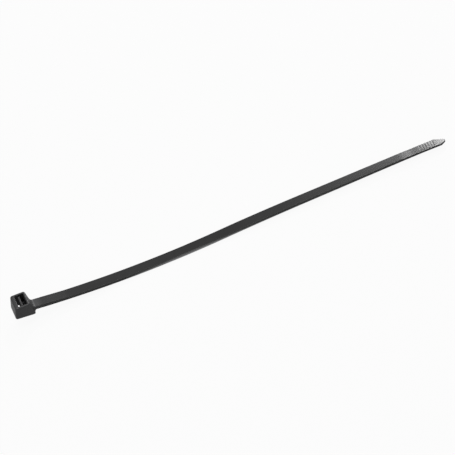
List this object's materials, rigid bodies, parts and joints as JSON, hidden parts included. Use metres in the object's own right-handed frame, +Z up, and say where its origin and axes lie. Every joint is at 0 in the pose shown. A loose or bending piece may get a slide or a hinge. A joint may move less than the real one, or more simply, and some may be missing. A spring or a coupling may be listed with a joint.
{
  "type": "cable tie",
  "caption": "Moulded nylon cable tie: a long toothed strap with a locking head at one end and a pointed, grooved tail at the other, lying slightly bowed.",
  "frame": {"origin": "bottom centre of the tie's box as it lies on a surface, toothed face down", "axes": "+X along the tie from the head to the pointed tail, +Y across the strap, toward the tip's long bevel, +Z up out of the upper, smooth face"},
  "size_m": [0.1998, 0.0088, 0.0112],
  "materials": {
    "nylon": "satin moulded black nylon"
  },
  "bodies": {
    "root": {"cable_tie": "nylon"}
  },
  "joints": []
}
